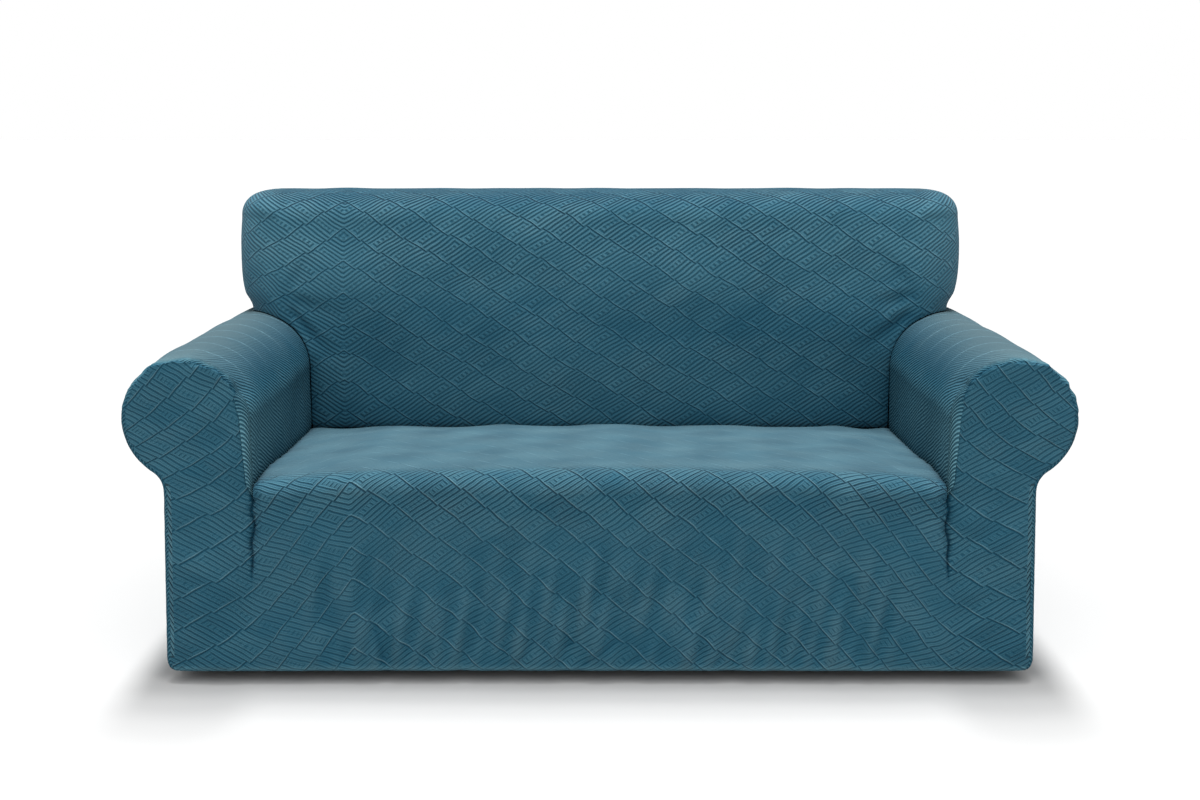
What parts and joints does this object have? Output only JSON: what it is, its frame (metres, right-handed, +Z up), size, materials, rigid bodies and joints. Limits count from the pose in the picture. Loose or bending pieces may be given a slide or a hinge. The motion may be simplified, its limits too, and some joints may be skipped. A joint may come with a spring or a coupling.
{
  "type": "sofa slipcover",
  "caption": "Fitted stretch slipcover in the shape of a rolled-arm sofa: seat top and apron, arm sleeves, wrapped back and a hem that curls under, hollow inside.",
  "frame": {"origin": "middle of the footprint, at the underside of the hem", "axes": "+Z up, -Y the front with the seat opening, +X the viewer's right along the sofa"},
  "size_m": [1.7698, 0.88, 0.875],
  "materials": {
    "stretch_jacquard": "matt stretch jacquard knit in blue, fine ribs in a raised basket-weave fret"
  },
  "bodies": {
    "root": {"seat_front_panel": "stretch_jacquard", "arm_sleeve_left": "stretch_jacquard", "arm_sleeve_right": "stretch_jacquard", "inside_back_panel": "stretch_jacquard", "outside_back_panel": "stretch_jacquard"}
  },
  "joints": []
}
